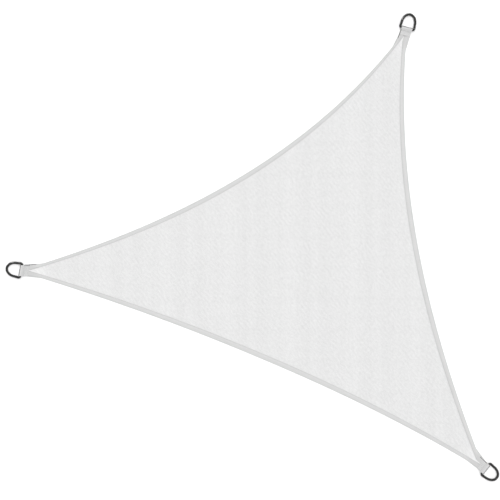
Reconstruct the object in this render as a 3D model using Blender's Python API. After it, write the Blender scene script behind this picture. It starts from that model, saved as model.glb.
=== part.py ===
"""A triangular shade sail with three hollow edges, lying flat on a surface.

A knitted cloth panel lies on the surface. A binding tape is sewn along each of its edges, and at
each corner a webbing strap is looped round the bar of a D-ring, with one leg sewn under the corner
and the other on top of it.
Units are metres, +Z is up, and the long base edge runs along X.
"""

import math

import bmesh
import bpy
from mathutils import Matrix, Vector

# Sides of the sail, from ring bar to ring bar.
SIDE_BASE = 2.000
SIDE_LEFT = 1.804
SIDE_RIGHT = 1.771

# Layers, from the surface up. SEAM parts any two pieces that are sewn together.
SEAM = 0.0003
PANEL_THICK = 0.0010
TAPE_THICK = 0.0012
WEBBING_THICK = 0.0016

# Each edge is a shallow arc, deepest on one side of its middle where it is skewed, and flatter in
# the middle where its power is over 2. Its ends lie a little outside (+) or inside (-) the line
# between the bars, and flare out over the last FLARE_REACH into the sail's blunt corners.
EDGE_COLUMNS = (
    "start", "end", "bow", "power", "skew", "start_out", "end_out", "start_flare", "end_flare"
)
EDGES = {
    "left": ("top", "left", 0.1475, 2.02, 0.168, 0.0009, 0.0020, 0.0211, 0.0268),
    "base": ("left", "right", 0.0594, 2.14, -0.127, 0.0051, 0.0095, 0.0146, 0.0084),
    "right": ("right", "top", 0.1062, 2.00, -0.146, -0.0052, 0.0023, 0.0267, 0.0222),
}
FLARE_REACH = 0.088
FLARE_POWER = 1.1
EDGE_STEPS = 48
NEAR_START = 0.01  # places along an edge, as shares of it, that give its heading at a corner
NEAR_END = 0.99

# Each tape is widest in the middle of its edge and drawn narrower towards the corners. The widths
# are at its start, in its middle and at its end.
TAPE_WIDTHS = {
    "left": (0.0088, 0.0190, 0.0102),
    "base": (0.0135, 0.0212, 0.0142),
    "right": (0.0158, 0.0211, 0.0148),
}
CORNER_CUT = 0.014  # the sail's blunt corner ends this far inside the ring's bar
CUT_SEARCH = 0.1  # the share of an edge, from its corner, that the cut is looked for in
CUT_HALVINGS = 40
MITRE_GAP = 0.0003

# How far each strap is turned from the line that halves its corner, and each ring, with the fold
# of its strap, out of square with the strap.
STRAP_TURN = {"top": 0.0, "left": 0.0, "right": math.radians(6.5)}
RING_TURN = {"top": math.radians(6.8), "left": math.radians(-10), "right": math.radians(4.5)}

# The D-ring, measured on the centre line of its wire.
WIRE_RADIUS = 0.00475
BAR_HALF = 0.0220
BEND_RADIUS = 0.0060
SHOULDER_HEIGHT = 0.022
CROWN_HALF = 0.0268
CROWN_HEIGHT = 0.0353
BEND_STEPS = 5
CROWN_STEPS = 28
WIRE_RESOLUTION = 4

# The strap, folded round the bar. Its lower leg lies on the surface and reaches further in than
# its upper one, which comes down onto the corner this far inside the bar.
STRAP_WIDTH = 0.043
LOWER_LEG = 0.056
UPPER_LEG = 0.030
UPPER_LANDS_AT = 0.016
LOOP_STEPS = 18
LANDING_STEPS = 6

# The cloth and its tapes rise over the lower leg between these depths inside the bar.
RISE_STARTS = 0.080
RISE_ENDS = 0.061
RISE_STEPS = 6

SAME_PLACE = 1e-6  # points closer together than this are one

WHITE = (0.86, 0.86, 0.86, 1.0)
OFF_WHITE = (0.74, 0.74, 0.74, 1.0)
STEEL = (0.42, 0.42, 0.43, 1.0)


def clear_scene():
    for obj in list(bpy.data.objects):
        bpy.data.objects.remove(obj, do_unlink=True)


def material(name, colour, roughness, metallic=0.0):
    made = bpy.data.materials.new(name)
    made.use_nodes = True
    shader = made.node_tree.nodes["Principled BSDF"]
    shader.inputs["Base Color"].default_value = colour
    shader.inputs["Roughness"].default_value = roughness
    shader.inputs["Metallic"].default_value = metallic
    return made


def corner_points():
    """The middle of each ring's bar, with the left one at the origin."""
    top_x = (SIDE_LEFT**2 + SIDE_BASE**2 - SIDE_RIGHT**2) / (2 * SIDE_BASE)
    top_y = math.sqrt(SIDE_LEFT**2 - top_x**2)
    return {
        "left": Vector((0.0, 0.0)),
        "right": Vector((SIDE_BASE, 0.0)),
        "top": Vector((top_x, top_y)),
    }


CORNERS = corner_points()


def left_of(direction):
    """The direction turned a quarter turn anticlockwise."""
    return Vector((-direction.y, direction.x))


class Edge:
    """One hollow edge. The sail lies on the left of its direction, as the corners run anticlockwise."""

    def __init__(self, name):
        self.row = dict(zip(EDGE_COLUMNS, EDGES[name]))
        self.tape_start, self.tape_mid, self.tape_end = TAPE_WIDTHS[name]
        self.start = CORNERS[self.row["start"]]
        self.chord = CORNERS[self.row["end"]] - self.start
        self.inward = left_of(self.chord.normalized())

    def arc(self, t):
        """The edge's line without its flared ends."""
        row = self.row
        fullness = (1 - abs(2 * t - 1) ** row["power"]) * (1 + row["skew"] * (1 - 2 * t))
        out = row["start_out"] * (1 - t) + row["end_out"] * t
        return self.start + self.chord * t + self.inward * (row["bow"] * fullness - out)

    def flare(self, t):
        length = self.chord.length
        from_start = max(1 - t * length / FLARE_REACH, 0.0) ** FLARE_POWER
        from_end = max(1 - (1 - t) * length / FLARE_REACH, 0.0) ** FLARE_POWER
        return self.row["start_flare"] * from_start + self.row["end_flare"] * from_end

    def outer(self, t):
        return self.arc(t) - self.inward * self.flare(t)

    def tangent(self, t):
        step = 0.001
        return (self.arc(t + step) - self.arc(t - step)).normalized()

    def inner(self, t):
        by_corner = self.tape_start * (1 - t) + self.tape_end * t
        width = by_corner + (self.tape_mid - by_corner) * math.sin(math.pi * t)
        return self.arc(t) + left_of(self.tangent(t)) * width


EDGE = {name: Edge(name) for name in EDGES}


class Corner:
    """The strap's line at a corner, and the line across it where the sail's corner is cut."""

    def __init__(self, name):
        self.bar = CORNERS[name]
        self.leaving = next(edge for edge in EDGE.values() if edge.row["start"] == name)
        self.arriving = next(edge for edge in EDGE.values() if edge.row["end"] == name)
        halving = (self.leaving.tangent(NEAR_START) - self.arriving.tangent(NEAR_END)).normalized()
        self.inward = Matrix.Rotation(STRAP_TURN[name], 2) @ halving
        self.cut_leaving = self.cut_at(self.leaving, 0.0, CUT_SEARCH)
        self.cut_arriving = self.cut_at(self.arriving, 1.0, 1.0 - CUT_SEARCH)
        leaves = self.leaving.outer(self.cut_leaving)
        arrives = self.arriving.outer(self.cut_arriving)
        self.middle = (leaves + arrives) / 2

    def depth(self, point):
        return (point - self.bar).dot(self.inward)

    def side(self, point):
        """How far a point lies on the arriving edge's side of the corner's middle line."""
        return (point - self.middle).dot(left_of(self.inward))

    def cut_at(self, edge, near, far):
        """The place along an edge where it crosses the corner's cut, found by halving."""
        for _ in range(CUT_HALVINGS):
            middle = (near + far) / 2
            if self.depth(edge.outer(middle)) < CORNER_CUT:
                near = middle
            else:
                far = middle
        return (near + far) / 2


CORNER = {name: Corner(name) for name in CORNERS}


def edge_places(edge):
    """Places along an edge from cut to cut, closer together near the corners."""
    first = CORNER[edge.row["start"]].cut_leaving
    last = CORNER[edge.row["end"]].cut_arriving
    eased = [(1 - math.cos(math.pi * i / EDGE_STEPS)) / 2 for i in range(EDGE_STEPS + 1)]
    return [first + (last - first) * share for share in eased]


def panel_outline():
    points = []
    for name in ("left", "base", "right"):
        points += [EDGE[name].outer(t) for t in edge_places(EDGE[name])]
    return points


def mitred_inner(edge, places):
    """The tape's inner side, stopped at each corner's middle line, which the next tape shares."""
    start = CORNER[edge.row["start"]]
    end = CORNER[edge.row["end"]]
    room_start = [-start.side(edge.inner(t)) - MITRE_GAP / 2 for t in places]
    room_end = [end.side(edge.inner(t)) - MITRE_GAP / 2 for t in places]
    kept = [i for i in range(len(places)) if room_start[i] > 0 and room_end[i] > 0]
    first, last = kept[0], kept[-1]
    points = [edge.inner(places[i]) for i in kept]
    if first > 0:
        share = room_start[first] / (room_start[first] - room_start[first - 1])
        points.insert(0, edge.inner(places[first]).lerp(edge.inner(places[first - 1]), share))
    if last < len(places) - 1:
        share = room_end[last] / (room_end[last] - room_end[last + 1])
        points.append(edge.inner(places[last]).lerp(edge.inner(places[last + 1]), share))
    return points


def tape_outline(edge):
    places = edge_places(edge)
    outer = [edge.outer(t) for t in places]
    start = CORNER[edge.row["start"]]
    end = CORNER[edge.row["end"]]
    start_mitre = start.middle - left_of(start.inward) * (MITRE_GAP / 2)
    end_mitre = end.middle + left_of(end.inward) * (MITRE_GAP / 2)
    return outer + [end_mitre] + mitred_inner(edge, places)[::-1] + [start_mitre]


def d_ring_path():
    """The wire's centre line, anticlockwise from the bar, which lies along X through the origin."""
    bend_x = BAR_HALF + BEND_RADIUS
    half = [Vector((BAR_HALF, 0.0))]
    for i in range(1, BEND_STEPS + 1):
        angle = math.pi / 2 * i / BEND_STEPS
        half.append(
            Vector((BAR_HALF + BEND_RADIUS * math.sin(angle), BEND_RADIUS * (1 - math.cos(angle))))
        )
    shoulder_start = Vector((bend_x, BEND_RADIUS))
    shoulder_end = Vector((CROWN_HALF, SHOULDER_HEIGHT))
    half.append(shoulder_start.lerp(shoulder_end, 0.5))
    for i in range(CROWN_STEPS // 2 + 1):
        angle = math.pi * i / CROWN_STEPS
        x = CROWN_HALF * math.cos(angle)
        half.append(Vector((x, SHOULDER_HEIGHT + CROWN_HEIGHT * math.sin(angle))))
    mirrored = [Vector((-point.x, point.y)) for point in half[:-1]]
    return half + mirrored[::-1]


def bar_height():
    """The bar's centre, held up by the webbing under it."""
    return WEBBING_THICK + SEAM + WIRE_RADIUS


def leg_heights():
    """The middles of the strap's two legs, with the cloth and its tape between them."""
    cloth_and_tape = SEAM + PANEL_THICK + SEAM + TAPE_THICK + SEAM
    return WEBBING_THICK / 2, WEBBING_THICK * 1.5 + cloth_and_tape


def eased_run(start, end, steps):
    """Points from start to end, level at both ends, without the end point."""
    points = []
    for i in range(steps):
        share = i / steps
        height = share * share * (3 - 2 * share)
        points.append(
            Vector((start.x + (end.x - start.x) * share, start.y + (end.y - start.y) * height))
        )
    return points


def strap_middle_line():
    """The strap's middle line seen from its side: x is the way out past the bar, y is the height."""
    lower, upper = leg_heights()
    radius = WIRE_RADIUS + SEAM + WEBBING_THICK / 2
    centre = Vector((0.0, bar_height()))
    line = [Vector((-LOWER_LEG, lower)), Vector((-LOWER_LEG / 2, lower))]
    for i in range(LOOP_STEPS + 1):
        angle = math.pi * (i / LOOP_STEPS - 0.5)
        line.append(centre + Vector((math.cos(angle), math.sin(angle))) * radius)
    landing = Vector((-UPPER_LANDS_AT, upper))
    line += eased_run(landing, centre + Vector((0, radius)), LANDING_STEPS)[::-1]
    line += [Vector((-(UPPER_LEG + UPPER_LANDS_AT) / 2, upper)), Vector((-UPPER_LEG, upper))]
    return line


def strap_profile():
    """The strap's middle line, thickened to a closed outline."""
    line = strap_middle_line()
    right_side, left_side = [], []
    for i, point in enumerate(line):
        before = line[max(i - 1, 0)]
        after = line[min(i + 1, len(line) - 1)]
        across = left_of((after - before).normalized()) * (WEBBING_THICK / 2)
        right_side.append(point - across)
        left_side.append(point + across)
    return right_side + left_side[::-1]


def flat_curve(name, outline, thickness):
    """An outline as a flat plate, centred on the plane it is drawn in."""
    data = bpy.data.curves.new(name, "CURVE")
    data.dimensions = "2D"
    data.fill_mode = "BOTH"
    data.extrude = thickness / 2
    spline = data.splines.new("POLY")
    spline.points.add(len(outline) - 1)
    for spline_point, point in zip(spline.points, outline):
        spline_point.co = (point.x, point.y, 0.0, 1.0)
    spline.use_cyclic_u = True
    return bpy.data.objects.new(name, data)


def as_mesh(curve_object, collection, placing=None):
    """The curve's solid as a mesh object with its caps welded, placed by a matrix."""
    collection.objects.link(curve_object)
    graph = bpy.context.evaluated_depsgraph_get()
    name = curve_object.name
    mesh = bpy.data.meshes.new_from_object(curve_object.evaluated_get(graph))
    world = curve_object.matrix_world.copy()
    bpy.data.objects.remove(curve_object, do_unlink=True)
    if placing is not None:
        mesh.transform(placing)
    shape = bmesh.new()
    shape.from_mesh(mesh)
    bmesh.ops.remove_doubles(shape, verts=shape.verts, dist=SAME_PLACE)
    bmesh.ops.recalc_face_normals(shape, faces=shape.faces)
    shape.to_mesh(mesh)
    shape.free()
    made = bpy.data.objects.new(name, mesh)
    made.matrix_world = world
    collection.objects.link(made)
    return made


def rise(place):
    """How far a place on the cloth is lifted by the strap's leg under the nearest corner."""
    depth = min(corner.depth(place) for corner in CORNER.values())
    share = min(max((RISE_STARTS - depth) / (RISE_STARTS - RISE_ENDS), 0.0), 1.0)
    return (WEBBING_THICK + SEAM) * share * share * (3 - 2 * share)


def raise_corners(obj):
    """Cuts a flat sheet across near each corner and bends it up over the strap's lower leg."""
    shape = bmesh.new()
    shape.from_mesh(obj.data)
    for corner in CORNER.values():
        for i in range(RISE_STEPS + 1):
            depth = RISE_STARTS + (RISE_ENDS - RISE_STARTS) * i / RISE_STEPS
            crossing = corner.bar + corner.inward * depth
            bmesh.ops.bisect_plane(
                shape,
                geom=shape.verts[:] + shape.edges[:] + shape.faces[:],
                dist=SAME_PLACE,
                plane_co=(crossing.x, crossing.y, 0.0),
                plane_no=(corner.inward.x, corner.inward.y, 0.0),
            )
    for vertex in shape.verts:
        vertex.co.z += rise(vertex.co.xy)
    shape.to_mesh(obj.data)
    shape.free()


def dress(obj, finish, root):
    obj.data.materials.clear()
    obj.data.materials.append(finish)
    obj.parent = root


def add_panel(collection, root, finish):
    panel = as_mesh(flat_curve("panel", panel_outline(), PANEL_THICK), collection)
    raise_corners(panel)
    panel.location.z = PANEL_THICK / 2
    dress(panel, finish, root)


def add_tapes(collection, root, finish):
    for name, edge in EDGE.items():
        tape = as_mesh(flat_curve(f"edge_tape_{name}", tape_outline(edge), TAPE_THICK), collection)
        raise_corners(tape)
        tape.location.z = PANEL_THICK + SEAM + TAPE_THICK / 2
        dress(tape, finish, root)


def ring_axes(name):
    """The directions along a ring's bar and out of its corner along the strap."""
    outward = -CORNER[name].inward
    turn = Matrix.Rotation(RING_TURN[name], 2)
    crown_way = turn @ outward
    return Vector((crown_way.y, -crown_way.x)), outward


def add_strap(name, collection, root, finish):
    along_bar, outward = ring_axes(name)
    width = STRAP_WIDTH / math.cos(RING_TURN[name])
    curve = flat_curve(f"corner_strap_{name}", strap_profile(), width)
    bar = CORNERS[name]
    placing = Matrix(
        (
            (outward.x, 0.0, along_bar.x, bar.x),
            (outward.y, 0.0, along_bar.y, bar.y),
            (0.0, 1.0, 0.0, 0.0),
            (0.0, 0.0, 0.0, 1.0),
        )
    )
    dress(as_mesh(curve, collection, placing), finish, root)


def add_ring(name, collection, root, finish):
    """A D-ring with its bar in the strap's fold and its crown let down onto the surface."""
    data = bpy.data.curves.new(f"ring_{name}", "CURVE")
    data.dimensions = "3D"
    data.bevel_depth = WIRE_RADIUS
    data.bevel_resolution = WIRE_RESOLUTION
    spline = data.splines.new("POLY")
    path = d_ring_path()
    spline.points.add(len(path) - 1)
    for spline_point, point in zip(spline.points, path):
        spline_point.co = (point.x, point.y, 0.0, 1.0)
    spline.use_cyclic_u = True
    ring = bpy.data.objects.new(f"ring_{name}", data)
    collection.objects.link(ring)
    along_bar, _ = ring_axes(name)
    drop = bar_height() - WIRE_RADIUS
    lean = math.asin(drop / (SHOULDER_HEIGHT + CROWN_HEIGHT))
    heading = math.atan2(along_bar.y, along_bar.x)
    ring.rotation_euler = (-lean, 0.0, heading)
    bar = CORNERS[name]
    ring.location = (bar.x, bar.y, bar_height())
    dress(ring, finish, root)


def centre_on_surface(root, parts):
    """Moves the whole sail so that the middle of its plan lies over the origin."""
    bpy.context.view_layer.update()
    graph = bpy.context.evaluated_depsgraph_get()
    xs, ys = [], []
    for part in parts:
        evaluated = part.evaluated_get(graph)
        mesh = evaluated.to_mesh()
        for vertex in mesh.vertices:
            place = part.matrix_world @ vertex.co
            xs.append(place.x)
            ys.append(place.y)
        evaluated.to_mesh_clear()
    root.location = (-(min(xs) + max(xs)) / 2, -(min(ys) + max(ys)) / 2, 0.0)


def main():
    clear_scene()
    collection = bpy.data.collections.new("shade_sail")
    bpy.context.scene.collection.children.link(collection)
    root = bpy.data.objects.new("shade_sail_root", None)
    collection.objects.link(root)
    cloth = material("knitted_cloth", WHITE, 0.85)
    tape = material("binding_tape", OFF_WHITE, 0.8)
    webbing = material("strap_webbing", OFF_WHITE, 0.75)
    steel = material("polished_steel", STEEL, 0.2, metallic=1.0)
    add_panel(collection, root, cloth)
    add_tapes(collection, root, tape)
    for name in CORNERS:
        add_strap(name, collection, root, webbing)
        add_ring(name, collection, root, steel)
    centre_on_surface(root, [obj for obj in collection.objects if obj is not root])


main()
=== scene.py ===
"""The look of a triangular shade sail of knitted cloth, laid flat and seen from straight above.

The sheets, straps and rings repeat the part's own named sizes, in metres, and stand where its
solids do. Sizes along a sheet are carried in its UV map, in metres too.
"""

import math

import bmesh
import bpy
from mathutils import Matrix, Vector


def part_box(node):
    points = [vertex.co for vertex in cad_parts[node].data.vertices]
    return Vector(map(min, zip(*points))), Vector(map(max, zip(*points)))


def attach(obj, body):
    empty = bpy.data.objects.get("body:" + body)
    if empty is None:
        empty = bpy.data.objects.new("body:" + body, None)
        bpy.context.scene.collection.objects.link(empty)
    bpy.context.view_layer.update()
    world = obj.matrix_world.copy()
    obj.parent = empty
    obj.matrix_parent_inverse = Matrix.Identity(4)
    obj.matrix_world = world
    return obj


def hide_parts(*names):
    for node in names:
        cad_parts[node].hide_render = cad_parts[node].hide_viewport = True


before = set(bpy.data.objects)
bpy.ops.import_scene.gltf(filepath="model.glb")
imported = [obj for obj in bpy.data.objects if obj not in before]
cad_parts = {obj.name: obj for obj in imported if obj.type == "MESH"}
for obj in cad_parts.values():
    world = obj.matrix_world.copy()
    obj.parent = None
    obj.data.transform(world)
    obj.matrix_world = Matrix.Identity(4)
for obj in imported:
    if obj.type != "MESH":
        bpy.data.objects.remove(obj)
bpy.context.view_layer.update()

UP = Vector((0.0, 0.0, 1.0))

# --- the part's own sizes --------------------------------------------------------------------
SIDE_BASE = 2.000
SIDE_LEFT = 1.804
SIDE_RIGHT = 1.771
SEAM = 0.0003  # left between pieces that are sewn together
PANEL_THICK = 0.0010
TAPE_THICK = 0.0012
WEBBING_THICK = 0.0016
EDGE_COLUMNS = (
    "start", "end", "bow", "power", "skew", "start_out", "end_out", "start_flare", "end_flare"
)
EDGES = {
    "left": ("top", "left", 0.1475, 2.02, 0.168, 0.0009, 0.0020, 0.0211, 0.0268),
    "base": ("left", "right", 0.0594, 2.14, -0.127, 0.0051, 0.0095, 0.0146, 0.0084),
    "right": ("right", "top", 0.1062, 2.00, -0.146, -0.0052, 0.0023, 0.0267, 0.0222),
}
FLARE_REACH = 0.088
FLARE_POWER = 1.1
TANGENT_STEP = 0.001
# A tape's width at its start, in its middle and at its end.
TAPE_WIDTHS = {
    "left": (0.0088, 0.0190, 0.0102),
    "base": (0.0135, 0.0212, 0.0142),
    "right": (0.0158, 0.0211, 0.0148),
}
CORNER_CUT = 0.014
CUT_SEARCH = 0.1
CUT_HALVINGS = 40
NEAR_START = 0.01
NEAR_END = 0.99
MITRE_GAP = 0.0003
STRAP_TURN = {"top": 0.0, "left": 0.0, "right": math.radians(6.5)}
RING_TURN = {"top": math.radians(6.8), "left": math.radians(-10), "right": math.radians(4.5)}
WIRE_RADIUS = 0.00475
BAR_HALF = 0.0220
BEND_RADIUS = 0.0060
SHOULDER_HEIGHT = 0.022
CROWN_HALF = 0.0268
CROWN_HEIGHT = 0.0353
STRAP_WIDTH = 0.043
LOWER_LEG = 0.056
UPPER_LEG = 0.030
UPPER_LANDS_AT = 0.016
RISE_STARTS = 0.080
RISE_ENDS = 0.061
BAR_HEIGHT = WEBBING_THICK + SEAM + WIRE_RADIUS
LOOP_RADIUS = WIRE_RADIUS + SEAM + WEBBING_THICK / 2  # of the strap's middle line round its bar
BETWEEN_LEGS = SEAM + PANEL_THICK + SEAM + TAPE_THICK + SEAM

# --- the camera, over the point that the photo's middle shows --------------------------------
VIEW_POINT = Vector((0.8020, 0.4311))
VIEW_TURN = math.radians(23.11)
VIEW_HEIGHT = 4.681
LENS_MM = 85.0
SENSOR_MM = 36.0


# --- the sail's plan --------------------------------------------------------------------------
def corner_points():
    top_x = (SIDE_LEFT**2 + SIDE_BASE**2 - SIDE_RIGHT**2) / (2 * SIDE_BASE)
    top_y = math.sqrt(SIDE_LEFT**2 - top_x**2)
    return {
        "left": Vector((0.0, 0.0)),
        "right": Vector((SIDE_BASE, 0.0)),
        "top": Vector((top_x, top_y)),
    }


CORNERS = corner_points()


def left_of(direction):
    return Vector((-direction.y, direction.x))


def eased(share):
    """A share from 0 to 1, eased at both ends."""
    return share * share * (3 - 2 * share)


class Edge:
    """One hollow edge, run anticlockwise, so the cloth lies on its left."""

    def __init__(self, name):
        self.row = dict(zip(EDGE_COLUMNS, EDGES[name]))
        self.tape_start, self.tape_mid, self.tape_end = TAPE_WIDTHS[name]
        self.start = CORNERS[self.row["start"]]
        self.chord = CORNERS[self.row["end"]] - self.start
        self.inward = left_of(self.chord.normalized())

    def arc(self, t):
        """The edge's line without its flared ends."""
        row = self.row
        fullness = (1 - abs(2 * t - 1) ** row["power"]) * (1 + row["skew"] * (1 - 2 * t))
        out = row["start_out"] * (1 - t) + row["end_out"] * t
        return self.start + self.chord * t + self.inward * (row["bow"] * fullness - out)

    def flare(self, t):
        length = self.chord.length
        from_start = max(1 - t * length / FLARE_REACH, 0.0) ** FLARE_POWER
        from_end = max(1 - (1 - t) * length / FLARE_REACH, 0.0) ** FLARE_POWER
        return self.row["start_flare"] * from_start + self.row["end_flare"] * from_end

    def outer(self, t):
        return self.arc(t) - self.inward * self.flare(t)

    def tangent(self, t):
        return (self.arc(t + TANGENT_STEP) - self.arc(t - TANGENT_STEP)).normalized()

    def inner(self, t):
        by_corner = self.tape_start * (1 - t) + self.tape_end * t
        width = by_corner + (self.tape_mid - by_corner) * math.sin(math.pi * t)
        return self.arc(t) + left_of(self.tangent(t)) * width


EDGE = {name: Edge(name) for name in EDGES}


class Corner:
    """The strap's line at a corner, and the line across it where the sail's corner is cut."""

    def __init__(self, name):
        self.bar = CORNERS[name]
        self.leaving = next(edge for edge in EDGE.values() if edge.row["start"] == name)
        self.arriving = next(edge for edge in EDGE.values() if edge.row["end"] == name)
        halving = (self.leaving.tangent(NEAR_START) - self.arriving.tangent(NEAR_END)).normalized()
        self.inward = Matrix.Rotation(STRAP_TURN[name], 2) @ halving
        self.cut_leaving = self.cut_at(self.leaving, 0.0, CUT_SEARCH)
        self.cut_arriving = self.cut_at(self.arriving, 1.0, 1.0 - CUT_SEARCH)
        leaves = self.leaving.outer(self.cut_leaving)
        arrives = self.arriving.outer(self.cut_arriving)
        self.middle = (leaves + arrives) / 2

    def depth(self, point):
        return (point - self.bar).dot(self.inward)

    def side(self, point):
        return (point - self.middle).dot(left_of(self.inward))

    def cut_at(self, edge, near, far):
        for _ in range(CUT_HALVINGS):
            middle = (near + far) / 2
            if self.depth(edge.outer(middle)) < CORNER_CUT:
                near = middle
            else:
                far = middle
        return (near + far) / 2


CORNER = {name: Corner(name) for name in CORNERS}


def rise(place):
    """How far a place on the cloth is lifted by the strap's leg under the nearest corner."""
    depth = min(corner.depth(place) for corner in CORNER.values())
    share = min(max((RISE_STARTS - depth) / (RISE_STARTS - RISE_ENDS), 0.0), 1.0)
    return (WEBBING_THICK + SEAM) * eased(share)


def even_places(edge, count):
    first = CORNER[edge.row["start"]].cut_leaving
    last = CORNER[edge.row["end"]].cut_arriving
    return [first + (last - first) * i / count for i in range(count + 1)]


PANEL_EDGE_STEPS = 160


def panel_outline():
    points = []
    for name in ("left", "base", "right"):
        points += [EDGE[name].outer(t) for t in even_places(EDGE[name], PANEL_EDGE_STEPS)]
    return points


def plan_shift():
    """From the plan's own origin, at the left bar, to the frame's."""
    low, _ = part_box("panel")
    outline = panel_outline()
    return Vector((low[0] - min(p.x for p in outline), low[1] - min(p.y for p in outline)))


SHIFT = plan_shift()

# --- making meshes ----------------------------------------------------------------------------
SHARP = math.radians(40)
PANEL_SHARP = math.radians(30)
RING_SHARP = math.radians(80)
SHEET_MAP = "along_cloth"  # the UV map of a point's place across and along its own sheet


def new_object(name, points, faces, uvs=None, sharp=SHARP):
    """A mesh object from points in the plan's place. uvs gives a point's (across, along)."""
    mesh = bpy.data.meshes.new(name)
    mesh.from_pydata([(p[0] + SHIFT.x, p[1] + SHIFT.y, p[2]) for p in points], [], faces)
    if uvs is not None:
        layer = mesh.uv_layers.new(name=SHEET_MAP)
        for loop in mesh.loops:
            layer.data[loop.index].uv = uvs[loop.vertex_index]
    mesh.shade_smooth()
    mesh.set_sharp_from_angle(angle=sharp)
    made = bpy.data.objects.new(name, mesh)
    bpy.context.scene.collection.objects.link(made)
    return made


def finish_piece(piece, finish, slot_name, *nodes):
    """Gives a piece its material, and says which CAD nodes it stands for, which are hidden.
    slot_name is not used.
    """
    piece.data.materials.append(finish)
    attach(piece, "root")
    if nodes:
        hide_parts(*nodes)


# --- node helpers -----------------------------------------------------------------------------
# A noise's scale, its layers of detail, its roughness, and how its place is stretched first.
HATCH_LENGTH = 0.0125
HATCH_WIDTH = 0.0068
NOISES = {
    "hairs": (1400.0, 3.0, 0.6, (0.35, 1.0, 1.0)),
    "bar_wander": (3.0, 2.0, 0.5, None),
    "hatch": (1 / HATCH_WIDTH, 2.0, 0.6, (HATCH_WIDTH / HATCH_LENGTH, 1.0, 1.0)),
    "twill_drift": (9.0, 1.0, 0.5, None),
    "twill_patches": (16.0, 1.0, 0.5, None),
    "streaks": (60.0, 2.0, 0.5, (0.05, 1.0, 1.0)),
    "patches": (11.0, 3.0, 0.6, None),
    "slubs": (160.0, 4.0, 0.6, (1.0, 0.12, 1.0)),
    "soil": (14.0, 3.0, 0.55, None),
    "wear": (90.0, 4.0, 0.6, None),
    "twist": (900.0, 2.0, 0.5, None),
    "haze": (240.0, 4.0, 0.6, None),
    "scratches": (1800.0, 2.0, 0.5, None),
}
# A Mix node's sockets for colours, which share their names with its sockets for numbers.
MIX_COLOR_A = 6
MIX_COLOR_B = 7
MIX_COLOR_RESULT = 2


class Nodes:
    """A short way to wire a material's nodes."""

    def __init__(self, name):
        self.material = bpy.data.materials.new(name)
        self.material.use_nodes = True
        self.tree = self.material.node_tree
        self.shader = self.tree.nodes["Principled BSDF"]

    def add(self, kind, **settings):
        node = self.tree.nodes.new(kind)
        for key, value in settings.items():
            setattr(node, key, value)
        return node

    def link(self, output, socket):
        self.tree.links.new(output, socket)

    def place(self):
        """A point's place in the frame."""
        return self.add("ShaderNodeTexCoord").outputs["Object"]

    def sheet_place(self):
        """A point's place across and along its own sheet."""
        return self.add("ShaderNodeUVMap", uv_map=SHEET_MAP).outputs["UV"]

    def math(self, operation, first, second=None, third=None):
        node = self.add("ShaderNodeMath", operation=operation)
        for socket, value in zip(node.inputs, (first, second, third)):
            if value is None:
                continue
            if isinstance(value, (int, float)):
                socket.default_value = value
            else:
                self.link(value, socket)
        return node.outputs[0]

    def added(self, start, value, gain, middle=None):
        """start plus gain times the value, or times how far the value is over its middle."""
        if middle is not None:
            value = self.math("SUBTRACT", value, middle)
        return self.math("MULTIPLY_ADD", value, gain, start)

    def swing(self, turns):
        """A smooth wave from 0 to 1, from its turns in radians."""
        return self.added(0.5, self.math("SINE", turns), 0.5)

    def wave(self, value, pitch):
        return self.swing(self.math("MULTIPLY", value, 2 * math.pi / pitch))

    def mapped(self, vector, **settings):
        mapping = self.add("ShaderNodeMapping")
        for socket, value in settings.items():
            mapping.inputs[socket].default_value = value
        self.link(vector, mapping.inputs["Vector"])
        return mapping.outputs[0]

    def turned(self, vector, angle):
        return self.mapped(vector, Rotation=(0.0, 0.0, angle))

    def noise(self, vector, name):
        scale, detail, roughness, stretch = NOISES[name]
        if stretch is not None:
            vector = self.mapped(vector, Scale=stretch)
        node = self.add("ShaderNodeTexNoise")
        node.inputs["Scale"].default_value = scale
        node.inputs["Detail"].default_value = detail
        node.inputs["Roughness"].default_value = roughness
        self.link(vector, node.inputs["Vector"])
        return node.outputs["Fac"]

    def ramp(self, value, stops, blending="LINEAR"):
        node = self.add("ShaderNodeValToRGB")
        node.color_ramp.interpolation = blending
        elements = node.color_ramp.elements
        while len(elements) < len(stops):
            elements.new(0.5)
        for element, (place, grey) in zip(elements, stops):
            element.position = place
            element.color = (grey, grey, grey, 1.0)
        self.link(value, node.inputs["Fac"])
        return node.outputs["Color"]

    def split(self, vector):
        node = self.add("ShaderNodeSeparateXYZ")
        self.link(vector, node.inputs[0])
        return node.outputs[0], node.outputs[1]

    def eased_range(self, value, zero_at, one_at):
        """0 where the value is past zero_at, rising smoothly to 1 at one_at."""
        node = self.add("ShaderNodeMapRange", interpolation_type="SMOOTHSTEP")
        self.link(value, node.inputs["Value"])
        node.inputs["From Min"].default_value = zero_at
        node.inputs["From Max"].default_value = one_at
        return node.outputs[0]

    def colour(self, tone, white):
        """The shader's colour: a white of the given grey, times the tone."""
        mix = self.add("ShaderNodeMix", data_type="RGBA", blend_type="MULTIPLY")
        mix.inputs["Factor"].default_value = 1.0
        mix.inputs[MIX_COLOR_A].default_value = (white, white, white, 1.0)
        self.link(tone, mix.inputs[MIX_COLOR_B])
        self.link(mix.outputs[MIX_COLOR_RESULT], self.shader.inputs["Base Color"])

    def sheen(self, roughness, gloss):
        self.shader.inputs["Roughness"].default_value = roughness
        self.shader.inputs["Specular IOR Level"].default_value = gloss

    def relief(self, height, strength, distance):
        node = self.add("ShaderNodeBump")
        node.inputs["Strength"].default_value = strength
        node.inputs["Distance"].default_value = distance
        self.link(height, node.inputs["Height"])
        self.link(node.outputs[0], self.shader.inputs["Normal"])


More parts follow.
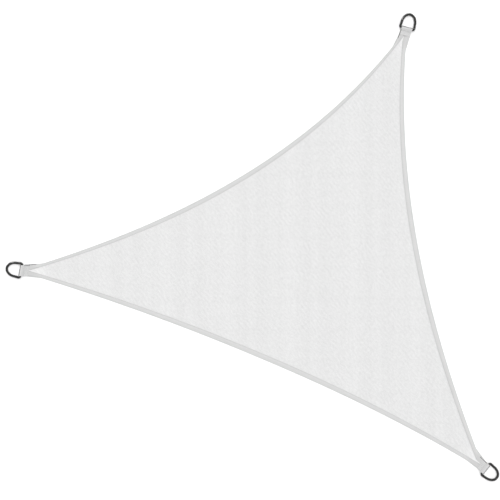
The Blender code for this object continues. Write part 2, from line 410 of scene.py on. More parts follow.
def near_corners(nodes, place, full_to, ends_at):
    """1 nearer to a ring's bar than full_to, falling to 0 at ends_at."""
    share = None
    for bar in CORNERS.values():
        away = nodes.add("ShaderNodeVectorMath", operation="DISTANCE")
        nodes.link(place, away.inputs[0])
        away.inputs[1].default_value = (bar.x + SHIFT.x, bar.y + SHIFT.y, 0.0)
        here = nodes.eased_range(away.outputs["Value"], ends_at, full_to)
        share = here if share is None else nodes.math("MAXIMUM", share, here)
    return share


# --- the cloth's finish -----------------------------------------------------------------------
CLOTH_WHITE = 0.708
CLOTH_ROUGHNESS = 0.85
CLOTH_GLOSS = 0.25
KNIT_TURN = VIEW_TURN + math.radians(90)  # the knit's ribs run this way from the plan's X
RIB_PITCH = 0.0048
RIB_SHARE = 0.65  # of the knit's height; the loops have the rest
LOOP_PITCH = 0.0034
LOOP_LEAN = 1.6  # from the gaps to the ribs, in radians of the loops' own wave
HAIR_HEIGHT = 0.25
KNIT_LOWEST = 0.955  # the tone where the knit is lowest
KNIT_CONTRAST = 0.050
CHAIN_CONTRAST = 0.12
STRANDS = 4.0  # strands in each thread laid from rib to rib
STRAND_CONTRAST = 0.035
HATCH_TURN = math.radians(-28)  # the slant of the threads laid in across the ribs
HATCH_CONTRAST = 0.235
TWILL_PITCH = 0.0156  # between the faint even stripes that show here and there along that slant
TWILL_DRIFT = 9.0  # how far the stripes wander, in radians of their own wave
TWILL_SHOWS = ((0.38, 0.0), (0.58, 1.0))
TWILL_CONTRAST = 0.014
# Lighter and darker bars along the ribs come round again every BAR_REPEAT, with a light one this
# far from the left ring's bar. Each stop is a place in the repeat and its tone.
BAR_REPEAT = 0.248
LIGHT_BAR = 1.062
BAR_WANDER = 0.02
BAR_TONES = ((0.0, 1.0), (0.3, 0.0), (0.4, 0.75), (0.55, 0.0), (0.75, 0.6), (0.85, 0.4), (1.0, 1.0))
BAR_MIDDLE = 0.5
BAR_CONTRAST = 0.027
# Fainter rows cross them, with a dark one this far from that bar along the ribs.
ROW_REPEAT = BAR_REPEAT / 2
DARK_ROW = 0.013
ROW_TONES = ((0.0, 0.0), (0.15, 1.0), (0.35, 0.4), (0.55, 0.9), (0.65, 0.6), (0.75, 1.0), (1.0, 0.0))
ROW_MIDDLE = 0.7
ROW_CONTRAST = 0.010
NOISE_MIDDLE = 0.5
PATCH_CONTRAST = 0.020
STREAK_CONTRAST = 0.018
# Towards a corner the stretched cloth is lighter: how far from the ring's bar that is full, and
# where it ends.
TONGUE_REACH = (0.058, 0.125)
TONGUE_LIGHTER = 0.062
CHAIN_RELIEF = 0.25
STRAND_RELIEF = 0.10
RIDGE_POWER = 6.0  # how narrow the ridge on each rib is
RIDGE_RELIEF = 0.4
KNIT_BUMP = (0.6, 0.0006)


def bars_and_rows(nodes, turned, along, across):
    """The tones of the broad bars and of the fainter rows across them."""
    bars_way = Vector((math.cos(VIEW_TURN), math.sin(VIEW_TURN)))
    bars_from = SHIFT.dot(bars_way) + LIGHT_BAR
    repeats = nodes.math("MULTIPLY_ADD", across, -1 / BAR_REPEAT, -bars_from / BAR_REPEAT)
    repeats = nodes.added(repeats, nodes.noise(turned, "bar_wander"), BAR_WANDER, NOISE_MIDDLE)
    bars = nodes.ramp(nodes.math("FRACT", repeats), BAR_TONES, "EASE")
    rows_from = SHIFT.dot(left_of(bars_way)) + DARK_ROW
    repeats = nodes.math("MULTIPLY_ADD", along, 1 / ROW_REPEAT, -rows_from / ROW_REPEAT)
    rows = nodes.ramp(nodes.math("FRACT", repeats), ROW_TONES, "EASE")
    return bars, rows


def knitted_cloth():
    """Knitted shade cloth: ribs of leaning loops, and threads laid in from rib to rib."""
    nodes = Nodes("knitted_cloth")
    place = nodes.place()
    turned = nodes.turned(place, -KNIT_TURN)
    along, across = nodes.split(turned)
    rib = nodes.wave(across, RIB_PITCH)
    lean = nodes.math("MULTIPLY", rib, LOOP_LEAN)
    turns = nodes.math("MULTIPLY_ADD", along, 2 * math.pi / LOOP_PITCH, lean)
    loops = nodes.swing(turns)
    height = nodes.added(nodes.math("MULTIPLY", loops, 1 - RIB_SHARE), rib, RIB_SHARE)
    height = nodes.added(height, nodes.noise(turned, "hairs"), HAIR_HEIGHT)
    # Full loops stand lighter on the ribs, and darker gaps lie between them and at their necks.
    loop_way = nodes.added(-1.0, loops, 2.0)
    rib_way = nodes.added(-1.0, rib, 2.0)
    chain = nodes.math("MULTIPLY", rib_way, loop_way)
    strands = nodes.math("SINE", nodes.math("MULTIPLY", turns, STRANDS))
    bars, rows = bars_and_rows(nodes, turned, along, across)
    slanted = nodes.turned(place, -HATCH_TURN)
    _, over_slant = nodes.split(slanted)
    drift = nodes.math("MULTIPLY", nodes.noise(slanted, "twill_drift"), TWILL_DRIFT)
    twill_turns = nodes.math("MULTIPLY_ADD", over_slant, 2 * math.pi / TWILL_PITCH, drift)
    shown = nodes.ramp(nodes.noise(turned, "twill_patches"), TWILL_SHOWS)
    twill = nodes.math("MULTIPLY", nodes.math("SINE", twill_turns), shown)
    tone = nodes.added(KNIT_LOWEST, height, KNIT_CONTRAST)
    tone = nodes.added(tone, chain, CHAIN_CONTRAST)
    tone = nodes.added(tone, strands, STRAND_CONTRAST)
    tone = nodes.added(tone, bars, BAR_CONTRAST, BAR_MIDDLE)
    tone = nodes.added(tone, rows, ROW_CONTRAST, ROW_MIDDLE)
    tone = nodes.added(tone, nodes.noise(slanted, "hatch"), HATCH_CONTRAST, NOISE_MIDDLE)
    tone = nodes.added(tone, twill, TWILL_CONTRAST)
    tone = nodes.added(tone, nodes.noise(turned, "patches"), PATCH_CONTRAST, NOISE_MIDDLE)
    tone = nodes.added(tone, nodes.noise(turned, "streaks"), STREAK_CONTRAST, NOISE_MIDDLE)
    tone = nodes.added(tone, near_corners(nodes, place, *TONGUE_REACH), TONGUE_LIGHTER)
    nodes.colour(tone, CLOTH_WHITE)
    nodes.sheen(CLOTH_ROUGHNESS, CLOTH_GLOSS)
    relief = nodes.added(height, chain, CHAIN_RELIEF)
    relief = nodes.added(relief, strands, STRAND_RELIEF)
    relief = nodes.added(relief, nodes.math("POWER", rib, RIDGE_POWER), RIDGE_RELIEF)
    nodes.relief(relief, *KNIT_BUMP)
    return nodes.material


# --- the tape's finish ------------------------------------------------------------------------
TAPE_WHITE = 0.615
TAPE_ROUGHNESS = 0.8
TAPE_GLOSS = 0.3
WARP_PITCH = 0.0011
WARP_SHARE = 0.6  # of the weave's height; the picks have the rest
PICK_PITCH = 0.0009
PICK_SHIFT = 0.0004  # how far the warp pushes the picks along
TAPE_LOWEST = 0.94
TAPE_CONTRAST = 0.06
SLUB_CONTRAST = 0.08
SOIL_CONTRAST = 0.05
# Towards a corner, where the tape is doubled, it is painted darker as shade of the overlap, fully to
# the first of these and ending at the second.
CORNER_SHADE_REACH = (0.050, 0.085)
CORNER_SHADE_DARKER = 0.075
TAPE_BUMP = (0.4, 0.0002)


def woven_tape():
    """A plain woven tape: fine warp ribs along it, crossed by finer picks."""
    nodes = Nodes("binding_tape")
    sheet = nodes.sheet_place()
    across, along = nodes.split(sheet)
    warp = nodes.wave(across, WARP_PITCH)
    pushed = nodes.math("ADD", along, nodes.math("MULTIPLY", warp, PICK_SHIFT))
    picks = nodes.wave(pushed, PICK_PITCH)
    height = nodes.added(nodes.math("MULTIPLY", picks, 1 - WARP_SHARE), warp, WARP_SHARE)
    tone = nodes.added(TAPE_LOWEST, height, TAPE_CONTRAST)
    tone = nodes.added(tone, nodes.noise(sheet, "slubs"), SLUB_CONTRAST, NOISE_MIDDLE)
    tone = nodes.added(tone, nodes.noise(sheet, "soil"), SOIL_CONTRAST, NOISE_MIDDLE)
    # Painted shade of the overlap on the tape near each corner.
    tone = nodes.added(tone, near_corners(nodes, nodes.place(), *CORNER_SHADE_REACH), -CORNER_SHADE_DARKER)
    nodes.colour(tone, TAPE_WHITE)
    nodes.sheen(TAPE_ROUGHNESS, TAPE_GLOSS)
    nodes.relief(height, *TAPE_BUMP)
    return nodes.material


# --- the webbing's finish ---------------------------------------------------------------------
WEBBING_WHITE = 0.61
WEBBING_ROUGHNESS = 0.7
WEBBING_GLOSS = 0.35
CORD_PITCH = 0.0026
CORD_SHARE = 0.5  # of the weave's height; the picks have the rest
TWILL_SLANT = 0.8
TWILL_PICK_PITCH = 0.0017
WEBBING_LOWEST = 0.91
WEBBING_CONTRAST = 0.09
WEAR_CONTRAST = 0.07
# Painted shade on the outer face of the strap's fold round its bar: where it lies, how wide it is,
# its fade and how much darker it is.
CREASE_ANGLE = math.radians(24)  # up from the outermost line of the fold
CREASE_SPREAD = math.radians(31)
CREASE_FADE = 0.0014
FOLD_SHADE_DARKER = 0.74
WEBBING_BUMP = (0.5, 0.0003)


def strap_webbing():
    """Webbing with cords along it, a twill of picks over them, and painted shade on the outer face
    of its fold.
    """
    nodes = Nodes("strap_webbing")
    sheet = nodes.sheet_place()
    across, along = nodes.split(sheet)
    cords = nodes.wave(across, CORD_PITCH)
    slant = nodes.added(along, nodes.math("ABSOLUTE", across), TWILL_SLANT)
    picks = nodes.wave(slant, TWILL_PICK_PITCH)
    height = nodes.added(nodes.math("MULTIPLY", picks, 1 - CORD_SHARE), cords, CORD_SHARE)
    tone = nodes.added(WEBBING_LOWEST, height, WEBBING_CONTRAST)
    tone = nodes.added(tone, nodes.noise(sheet, "wear"), WEAR_CONTRAST, NOISE_MIDDLE)
    crease_at = LOWER_LEG + LOOP_RADIUS * (math.pi / 2 + CREASE_ANGLE)
    crease_half = LOOP_RADIUS * CREASE_SPREAD
    away = nodes.math("ABSOLUTE", nodes.math("ADD", along, -crease_at))
    fold_shade = nodes.eased_range(away, crease_half + CREASE_FADE, crease_half)
    # The webbing is painted darker there, as shade on the fold's outer face.
    tone = nodes.math("MULTIPLY", tone, nodes.added(1.0, fold_shade, -FOLD_SHADE_DARKER))
    nodes.colour(tone, WEBBING_WHITE)
    nodes.sheen(WEBBING_ROUGHNESS, WEBBING_GLOSS)
    nodes.relief(height, *WEBBING_BUMP)
    return nodes.material


# --- the finish of threads and steel ----------------------------------------------------------
TAPE_THREAD_GREY = 0.32
# Near-black, so that the side rows paint the shadow along each strap's raised side.
SIDE_SHADOW_GREY = 0.05
CROSS_THREAD_GREY = 0.20
THREAD_SHADED = 0.9  # of its grey, in the hollows of its twist
THREAD_ROUGHNESS = 0.6
STEEL_TONES = ((0.35, 0.40), (0.65, 0.46))
STEEL_SMOOTHEST = 0.13
STEEL_HAZE = 0.10
STEEL_BUMP = (0.06, 0.0001)


def plain_thread(name, grey):
    nodes = Nodes(name)
    twist = nodes.noise(nodes.place(), "twist")
    tone = nodes.ramp(twist, [(0.3, grey * THREAD_SHADED), (0.7, grey)])
    nodes.link(tone, nodes.shader.inputs["Base Color"])
    nodes.shader.inputs["Roughness"].default_value = THREAD_ROUGHNESS
    return nodes.material


def polished_steel():
    nodes = Nodes("polished_steel")
    place = nodes.place()
    haze = nodes.noise(place, "haze")
    nodes.link(nodes.ramp(haze, STEEL_TONES), nodes.shader.inputs["Base Color"])
    nodes.link(nodes.added(STEEL_SMOOTHEST, haze, STEEL_HAZE), nodes.shader.inputs["Roughness"])
    nodes.shader.inputs["Metallic"].default_value = 1.0
    nodes.relief(nodes.noise(place, "scratches"), *STEEL_BUMP)
    return nodes.material


# --- the panel --------------------------------------------------------------------------------
RISE_STEPS = 12
CUT_TOLERANCE = 1e-6


def panel_plan():
    """The panel's places, and its faces, cut across each corner so that it can bend there."""
    shape = bmesh.new()
    shape.faces.new([shape.verts.new((p.x, p.y, 0.0)) for p in panel_outline()])
    for corner in CORNER.values():
        for i in range(RISE_STEPS + 1):
            depth = RISE_STARTS + (RISE_ENDS - RISE_STARTS) * i / RISE_STEPS
            crossing = corner.bar + corner.inward * depth
            bmesh.ops.bisect_plane(
                shape,
                geom=shape.verts[:] + shape.edges[:] + shape.faces[:],
                dist=CUT_TOLERANCE,
                plane_co=(crossing.x, crossing.y, 0.0),
                plane_no=(corner.inward.x, corner.inward.y, 0.0),
            )
    shape.verts.index_update()
    places = [vertex.co.xy for vertex in shape.verts]
    faces = [[vertex.index for vertex in face.verts] for face in shape.faces]
    shape.free()
    return places, faces


def make_panel(finish):
    places, upper = panel_plan()
    count = len(places)
    points = [(p.x, p.y, PANEL_THICK + rise(p)) for p in places]
    points += [(p.x, p.y, rise(p)) for p in places]
    lower = [[count + i for i in face[::-1]] for face in upper]
    steps = {step for face in upper for step in zip(face, face[1:] + face[:1])}
    rim = sorted((a, b) for a, b in steps if (b, a) not in steps)
    sides = [(count + a, count + b, b, a) for a, b in rim]
    panel = new_object("sail_panel", points, upper + lower + sides, sharp=PANEL_SHARP)
    finish_piece(panel, finish, "cloth", "panel")


# --- the edge tapes ---------------------------------------------------------------------------
TAPE_STEP = 0.005
SEAM_INSET = 0.0026  # a tape's two rows of stitches stand this far in from its sides
SIDE_ROUNDING = 0.0007
# The rounded side's first points: a share of its reach, and a share of the tape's thickness.
SIDE_POINTS = ((0.0, 0.25), (0.3, 0.75))
ROUNDING_DROP = 0.00006
GROOVE_HALF = 0.0007
GROOVE_DEPTH = 0.00035
GROOVE_LIP_DROP = 0.00003
MOST_OF_WIDTH = 0.45  # that one side and its groove may take up where the tape is narrow
LEAST_SHARE = 0.02  # of the tape's width, at the tip of its mitre


def tape_section(width):
    """(distance from the outer side, height) over the tape's top, from its outer side inwards."""
    half = [(SIDE_ROUNDING * reach, TAPE_THICK * height) for reach, height in SIDE_POINTS]
    half += [
        (SIDE_ROUNDING, TAPE_THICK - ROUNDING_DROP),
        (SEAM_INSET - GROOVE_HALF, TAPE_THICK - GROOVE_LIP_DROP),
        (SEAM_INSET, TAPE_THICK - GROOVE_DEPTH),
        (SEAM_INSET + GROOVE_HALF, TAPE_THICK - GROOVE_LIP_DROP),
    ]
    squeeze = min(1.0, MOST_OF_WIDTH * width / half[-1][0])
    half = [(reach * squeeze, height) for reach, height in half]
    mirrored = [(width - reach, height) for reach, height in half[::-1]]
    return half + [(width / 2, TAPE_THICK)] + mirrored


def mitre_share(edge, t):
    """How much of the tape's width there is at a place, before the corner's middle line."""
    outer, inner = edge.outer(t), edge.inner(t)
    share = 1.0
    start, end = CORNER[edge.row["start"]], CORNER[edge.row["end"]]
    for corner, sign in ((start, -1.0), (end, 1.0)):
        near = sign * corner.side(outer) - MITRE_GAP / 2
        far = sign * corner.side(inner) - MITRE_GAP / 2
        if far < 0:
            share = min(share, max(near / (near - far), LEAST_SHARE))
    return share


def make_tape(name, finish):
    edge = EDGE[name]
    places = even_places(edge, int(round(edge.chord.length / TAPE_STEP)))
    points, uvs = [], []
    along = 0.0
    before = None
    for t in places:
        outer = edge.outer(t)
        if before is not None:
            along += (outer - before).length
        before = outer
        inwards = edge.inner(t) - outer
        width = inwards.length * mitre_share(edge, t)
        inwards.normalize()
        row = [(0.0, 0.0)] + tape_section(width) + [(width, 0.0)]
        for reach, height in row:
            place = outer + inwards * reach
            points.append((place.x, place.y, PANEL_THICK + SEAM + rise(place) + height))
            uvs.append((reach, along))
    per_row = len(row)
    faces = []
    for i in range(len(places) - 1):
        for j in range(per_row):
            a, b = i * per_row + j, i * per_row + (j + 1) % per_row
            faces.append((a, b, b + per_row, a + per_row))
    faces.append(tuple(range(per_row))[::-1])
    faces.append(tuple(range((len(places) - 1) * per_row, len(places) * per_row)))
    tape = new_object(f"binding_{name}", points, [face[::-1] for face in faces], uvs)
    finish_piece(tape, finish, "tape", f"edge_tape_{name}")


# --- stitches ---------------------------------------------------------------------------------
STITCH_LENGTH = 0.0030
STITCH_PITCH = 0.0042
STITCH_RADIUS = 0.00035
STITCH_SIDES = 6
# Its rings of points: how far along, in lengths, then its size and its height, in radii.
STITCH_RINGS = (
    (-0.5, 0.35, -1.2), (-0.3, 1.0, -0.15), (0.0, 1.0, 0.0), (0.3, 1.0, -0.15), (0.5, 0.35, -1.2)
)
STITCHES_LEFT_OUT = 3  # at each end of an edge
# Stitches show on the back too, sunk this far into it, which keeps them off the floor.
BACK_STITCH_DEPTH = 0.00012
# How high a stitch's middle stands over what it lies on, in radii.
SEAM_STITCH_UP = 0.5
CROSS_STITCH_UP = 0.4
SATIN_STITCH_UP = 0.3


def add_stitch(points, faces, centre, along, up, length, radius):
    """One stitch: a short round thread with its ends drawn down."""
    across = up.cross(along).normalized()
    base = len(points)
    for reach, size, height in STITCH_RINGS:
        middle = centre + along * (length * reach) + up * (radius * height)
        for s in range(STITCH_SIDES):
            angle = 2 * math.pi * s / STITCH_SIDES
            place = middle + (across * math.cos(angle) + up * math.sin(angle)) * (radius * size)
            points.append(tuple(place))
    for i in range(len(STITCH_RINGS) - 1):
        for s in range(STITCH_SIDES):
            a = base + i * STITCH_SIDES + s
            b = base + i * STITCH_SIDES + (s + 1) % STITCH_SIDES
            faces.append((a, b, b + STITCH_SIDES, a + STITCH_SIDES))
    faces.append(tuple(base + s for s in range(STITCH_SIDES))[::-1])
    last = base + (len(STITCH_RINGS) - 1) * STITCH_SIDES
    faces.append(tuple(last + s for s in range(STITCH_SIDES)))


def add_both_faces(points, faces, place, along, top, back):
    """A stitch on the upper face at height top, and one under it on the back."""
    for height, way_up in ((top, UP), (back, -UP)):
        centre = Vector((place.x, place.y, height))
        add_stitch(points, faces, centre, along, way_up, STITCH_LENGTH, STITCH_RADIUS)


def make_tape_stitches(name, finish):
    edge = EDGE[name]
    points, faces = [], []
    groove = PANEL_THICK + SEAM + TAPE_THICK - GROOVE_DEPTH
    top = groove + SEAM_STITCH_UP * STITCH_RADIUS
    count = int(edge.chord.length / STITCH_PITCH)
    for t in even_places(edge, count)[STITCHES_LEFT_OUT:-STITCHES_LEFT_OUT]:
        if mitre_share(edge, t) < 1.0:
            continue
        tangent = edge.tangent(t).to_3d()
        inwards = edge.inner(t) - edge.outer(t)
        width = inwards.length
        inwards.normalize()
        for reach in (SEAM_INSET, width - SEAM_INSET):
            place = edge.outer(t) + inwards * reach
            lift = rise(place)
            add_both_faces(points, faces, place, tangent, top + lift, BACK_STITCH_DEPTH + lift)
    finish_piece(new_object(f"stitches_{name}", points, faces), finish, "tape")


# --- the straps -------------------------------------------------------------------------------
STRAP_COLUMNS = 28
LOWER_STEPS = 28
LOOP_STEPS = 36
LANDING_STEPS = 12
UPPER_STEPS = 10
SELVAGE = 0.0016
SELVAGE_THINNEST = 0.45  # of the webbing's thickness, at its very side


def eased_run(start, end, steps):
    points = []
    for i in range(steps):
        share = i / steps
        x = start.x + (end.x - start.x) * share
        points.append(Vector((x, start.y + (end.y - start.y) * eased(share))))
    return points


def even_run(start, end, steps):
    return [start.lerp(end, i / steps) for i in range(steps)]


def strap_middle_line():
    """The strap's middle line seen from its side: x is the way out past the bar, y is the height."""
    lower, upper = WEBBING_THICK / 2, WEBBING_THICK * 1.5 + BETWEEN_LEGS
    centre = Vector((0.0, BAR_HEIGHT))
    below, above = centre - Vector((0, LOOP_RADIUS)), centre + Vector((0, LOOP_RADIUS))
    line = even_run(Vector((-LOWER_LEG, lower)), below, LOWER_STEPS)
    for i in range(LOOP_STEPS + 1):
        angle = math.pi * (i / LOOP_STEPS - 0.5)
        line.append(centre + Vector((math.cos(angle), math.sin(angle))) * LOOP_RADIUS)
    landed = Vector((-UPPER_LANDS_AT, upper))
    line += eased_run(landed, above, LANDING_STEPS)[::-1]
    end = Vector((-UPPER_LEG, upper))
    line += even_run(landed, end, UPPER_STEPS)[1:] + [end]
    return line


def ring_axes(name):
    outward = -CORNER[name].inward
    crown_way = Matrix.Rotation(RING_TURN[name], 2) @ outward
    return Vector((crown_way.y, -crown_way.x)), outward


def strap_faces(row, rows):
    """The faces of a strap whose upper points come first, then as many lower ones."""
    lower = row * rows
    faces = []
    for i in range(rows - 1):
        for j in range(row - 1):
            a = i * row + j
            faces.append((a, a + 1, a + 1 + row, a + row))
            c = a + lower
            faces.append((c + row, c + row + 1, c + 1, c))
        for j in (0, row - 1):
            a = i * row + j
            quad = (a, a + row, a + row + lower, a + lower)
            faces.append(quad if j == 0 else quad[::-1])
    for i in (0, rows - 1):
        for j in range(row - 1):
            a = i * row + j
            quad = (a, a + lower, a + 1 + lower, a + 1)
            faces.append(quad if i == 0 else quad[::-1])
    return faces


def make_strap(name, finish):
    line = strap_middle_line()
    along_bar, outward = ring_axes(name)
    width = STRAP_WIDTH / math.cos(RING_TURN[name])
    lengths = [0.0]
    for a, b in zip(line, line[1:]):
        lengths.append(lengths[-1] + (b - a).length)
    points, uvs = [], []
    columns = [i / STRAP_COLUMNS * 2 - 1 for i in range(STRAP_COLUMNS + 1)]
    for face_side in (1, -1):
        for i, middle in enumerate(line):
            before, after = line[max(i - 1, 0)], line[min(i + 1, len(line) - 1)]
            across = left_of((after - before).normalized())
            for column in columns:
                side = column * width / 2
                from_edge = width / 2 - abs(side)
                rounding = math.sqrt(1 - (1 - min(from_edge / SELVAGE, 1.0)) ** 2)
                fullness = SELVAGE_THINNEST + (1 - SELVAGE_THINNEST) * rounding
                place = middle + across * (WEBBING_THICK / 2 * fullness * face_side)
                flat = CORNERS[name] + along_bar * side + outward * place.x
                points.append((flat.x, flat.y, place.y))
                uvs.append((side, lengths[i]))
    strap = new_object(f"webbing_{name}", points, strap_faces(len(columns), len(line)), uvs)
    finish_piece(strap, finish, "webbing", f"corner_strap_{name}")


# A close row of near-black stitches runs down one side of each strap, and on down the tape past its
# end: it paints the shadow along the strap's raised side.
SIDE_ROW_ON = {"top": -1, "left": 1, "right": -1}  # towards the bar's end that it runs near
SIDE_ROW_REACH = 0.0198  # from the strap's middle
SIDE_ROW_STARTS = 0.009
SIDE_ROW_ENDS = {"top": 0.047, "left": 0.031, "right": 0.046}
# The left corner's row goes on along the outer side of its tape.
TAPE_ROW_ALONG = "left"
TAPE_ROW_FROM = 0.031
TAPE_ROW_TO = 0.060
SATIN_PITCH = 0.0006
SATIN_LENGTH = 0.0023
SATIN_RADIUS = 0.00033
SATIN_TILT = math.radians(20)
CROSS_ROWS = (0.0115, 0.0160, 0.0210, 0.0272)  # how far inside the bar they cross the strap
CROSS_ROW_HALF = 0.0175


def strap_top(depth):
    """The height of the strap's top this far inside the bar."""
    landed = WEBBING_THICK * 2 + BETWEEN_LEGS
    crest = BAR_HEIGHT + WIRE_RADIUS + SEAM + WEBBING_THICK
    return landed + (crest - landed) * eased(max(1 - depth / UPPER_LANDS_AT, 0.0))


def tape_top(place):
    return PANEL_THICK + SEAM + TAPE_THICK + rise(place)


def add_satin(points, faces, place, top, heading):
    way = left_of(heading) * math.cos(SATIN_TILT) + heading * math.sin(SATIN_TILT)
    centre = Vector((place.x, place.y, top + SATIN_STITCH_UP * SATIN_RADIUS))
    add_stitch(points, faces, centre, way.to_3d(), UP, SATIN_LENGTH, SATIN_RADIUS)


def make_side_row(name, finish):
    along_bar, outward = ring_axes(name)
    side = SIDE_ROW_ON[name] * SIDE_ROW_REACH / math.cos(RING_TURN[name])
    points, faces = [], []
    depth = SIDE_ROW_STARTS
    while depth < SIDE_ROW_ENDS[name]:
        place = CORNERS[name] + along_bar * side - outward * depth
        top = strap_top(depth) if depth < UPPER_LEG else tape_top(place)
        add_satin(points, faces, place, top, -outward)
        depth += SATIN_PITCH
    edge = EDGE[TAPE_ROW_ALONG]
    if edge.row["end"] == name:
        for t in even_places(edge, int(edge.chord.length / SATIN_PITCH)):
            inwards = (edge.inner(t) - edge.outer(t)).normalized()
            place = edge.outer(t) + inwards * SEAM_INSET
            if TAPE_ROW_FROM < CORNER[name].depth(place) < TAPE_ROW_TO:
                add_satin(points, faces, place, tape_top(place), edge.tangent(t))
    finish_piece(new_object(f"side_row_{name}", points, faces), finish, "webbing")


def make_cross_rows(name, finish):
    along_bar, outward = ring_axes(name)
    way = along_bar.to_3d()
    points, faces = [], []
    count = int(2 * CROSS_ROW_HALF / STITCH_PITCH)
    for depth in CROSS_ROWS:
        top = strap_top(depth) + CROSS_STITCH_UP * STITCH_RADIUS
        for i in range(count + 1):
            side = CROSS_ROW_HALF * (2 * i / count - 1)
            place = CORNERS[name] + along_bar * side - outward * depth
            add_both_faces(points, faces, place, way, top, BACK_STITCH_DEPTH)
    finish_piece(new_object(f"cross_rows_{name}", points, faces), finish, "webbing")


# --- the rings --------------------------------------------------------------------------------
WIRE_SIDES = 28
HALF_BAR_STEPS = 4
RING_BEND_STEPS = 12
RING_SIDE_STEPS = 5
RING_CROWN_STEPS = 72


def d_ring_path():
    """The middle line of a ring's wire, from the middle of its bar round to there again."""
    half = [Vector((BAR_HALF * i / HALF_BAR_STEPS, 0.0)) for i in range(1, HALF_BAR_STEPS + 1)]
    for i in range(1, RING_BEND_STEPS + 1):
        angle = math.pi / 2 * i / RING_BEND_STEPS
        x = BAR_HALF + BEND_RADIUS * math.sin(angle)
        half.append(Vector((x, BEND_RADIUS * (1 - math.cos(angle)))))
    side_start = Vector((BAR_HALF + BEND_RADIUS, BEND_RADIUS))
    side_end = Vector((CROWN_HALF, SHOULDER_HEIGHT))
    half += even_run(side_start, side_end, RING_SIDE_STEPS)[1:]
    for i in range(RING_CROWN_STEPS // 2 + 1):
        angle = math.pi * i / RING_CROWN_STEPS
        x = CROWN_HALF * math.cos(angle)
        half.append(Vector((x, SHOULDER_HEIGHT + CROWN_HEIGHT * math.sin(angle))))
    mirrored = [Vector((-point.x, point.y)) for point in half[:-1]]
    return [Vector((0.0, 0.0))] + half + mirrored[::-1]


def make_ring(name, finish):
    path = d_ring_path()
    along_bar, _ = ring_axes(name)
    lean = math.asin((BAR_HEIGHT - WIRE_RADIUS) / (SHOULDER_HEIGHT + CROWN_HEIGHT))
    turn = Matrix.Rotation(math.atan2(along_bar.y, along_bar.x), 3, "Z")
    turn = turn @ Matrix.Rotation(-lean, 3, "X")
    bar = Vector((CORNERS[name].x, CORNERS[name].y, BAR_HEIGHT))
    points, faces = [], []
    total = len(path)
    for i, point in enumerate(path):
        way = (path[(i + 1) % total] - path[i - 1]).normalized()
        across = left_of(way)
        for s in range(WIRE_SIDES):
            angle = 2 * math.pi * s / WIRE_SIDES
            flat = point + across * (WIRE_RADIUS * math.cos(angle))
            place = bar + turn @ Vector((flat.x, flat.y, WIRE_RADIUS * math.sin(angle)))
            points.append(tuple(place))
            a = i * WIRE_SIDES + s
            b = i * WIRE_SIDES + (s + 1) % WIRE_SIDES
            c = (i + 1) % total * WIRE_SIDES
            faces.append((a, b, c + (s + 1) % WIRE_SIDES, c + s)[::-1])
    ring = new_object(f"steel_{name}", points, faces, sharp=RING_SHARP)
    finish_piece(ring, finish, "steel", f"ring_{name}")


# --- floor, light and camera ------------------------------------------------------------------
FLOOR_HALF = 60.0
FLOOR_DROP = 0.0003  # under the surface that the sail lies on
FLOOR_WHITE = 0.95
FLOOR_ROUGHNESS = 0.9
WORLD_STRENGTH = 0.12
SUN_SPREAD = math.radians(70)
# Each even light: the way towards it, and its strength.
SUNS = {"overhead": ((-0.5, 0.9, 2.4), 2.2), "fill": ((0.9, -0.6, 2.0), 1.5)}
SIDE_LIGHT_PLACE = (-9.0, 5.5, 6.5)
SIDE_LIGHT_SIZE = 2.5
SIDE_LIGHT_POWER = 125.0


def make_floor():
    half = FLOOR_HALF
    mesh = bpy.data.meshes.new("floor")
    corners = [(-half, -half, 0), (half, -half, 0), (half, half, 0), (-half, half, 0)]
    mesh.from_pydata(corners, [], [(0, 1, 2, 3)])
    floor = bpy.data.objects.new("floor", mesh)
    floor.location.z = -FLOOR_DROP
    bpy.context.scene.collection.objects.link(floor)
    nodes = Nodes("pale_floor")
    nodes.shader.inputs["Base Color"].default_value = (FLOOR_WHITE, FLOOR_WHITE, FLOOR_WHITE, 1.0)
    nodes.sheen(FLOOR_ROUGHNESS, 0.0)
    mesh.materials.append(nodes.material)
    floor.visible_glossy = False


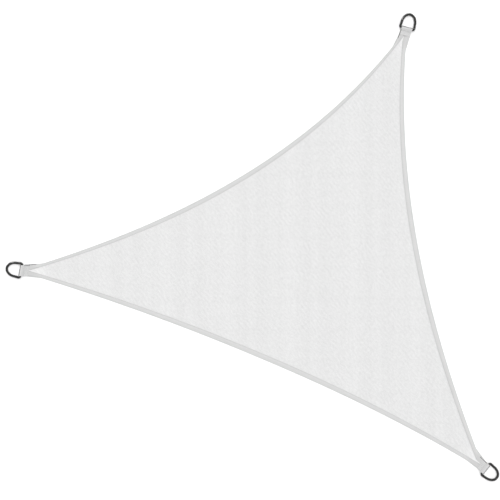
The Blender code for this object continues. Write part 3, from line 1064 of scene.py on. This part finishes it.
def link_light(name, data, towards):
    """A light that shines from that way towards the frame's origin."""
    light = bpy.data.objects.new(name, data)
    light.rotation_euler = (-Vector(towards)).to_track_quat("-Z", "Y").to_euler()
    bpy.context.scene.collection.objects.link(light)
    return light


def make_light():
    world = bpy.data.worlds.new("studio")
    world.use_nodes = True
    background = world.node_tree.nodes["Background"]
    background.inputs["Color"].default_value = (1.0, 1.0, 1.0, 1.0)
    background.inputs["Strength"].default_value = WORLD_STRENGTH
    bpy.context.scene.world = world
    # Even light over the whole sail, from wide soft sources that gloss doesn't show.
    for name, (towards, strength) in SUNS.items():
        data = bpy.data.lights.new(name, "SUN")
        data.energy = strength
        data.angle = SUN_SPREAD
        link_light(name, data, towards).visible_glossy = False
    data = bpy.data.lights.new("side", "AREA")
    data.shape = "SQUARE"
    data.size = SIDE_LIGHT_SIZE
    data.energy = SIDE_LIGHT_POWER
    link_light("side", data, SIDE_LIGHT_PLACE).location = SIDE_LIGHT_PLACE


def make_camera():
    data = bpy.data.cameras.new("camera")
    data.lens = LENS_MM
    data.sensor_width = SENSOR_MM
    camera = bpy.data.objects.new("camera", data)
    over = VIEW_POINT + SHIFT
    camera.location = (over.x, over.y, VIEW_HEIGHT)
    camera.rotation_euler = (0.0, 0.0, VIEW_TURN)
    bpy.context.scene.collection.objects.link(camera)
    bpy.context.scene.camera = camera


def main():
    cloth, tape_cloth, webbing = knitted_cloth(), woven_tape(), strap_webbing()
    tape_thread = plain_thread("sewing_thread", TAPE_THREAD_GREY)
    # The side rows' near-black thread paints the shadow along each strap's side.
    side_shadow_thread = plain_thread("shadow_line_thread", SIDE_SHADOW_GREY)
    cross_thread = plain_thread("grey_thread", CROSS_THREAD_GREY)
    steel = polished_steel()
    make_panel(cloth)
    for name in EDGE:
        make_tape(name, tape_cloth)
        make_tape_stitches(name, tape_thread)
    for name in CORNER:
        make_ring(name, steel)
        make_strap(name, webbing)
        make_side_row(name, side_shadow_thread)
        make_cross_rows(name, cross_thread)
    make_floor()
    make_light()
    make_camera()
    bpy.context.scene.view_settings.view_transform = "Standard"


main()
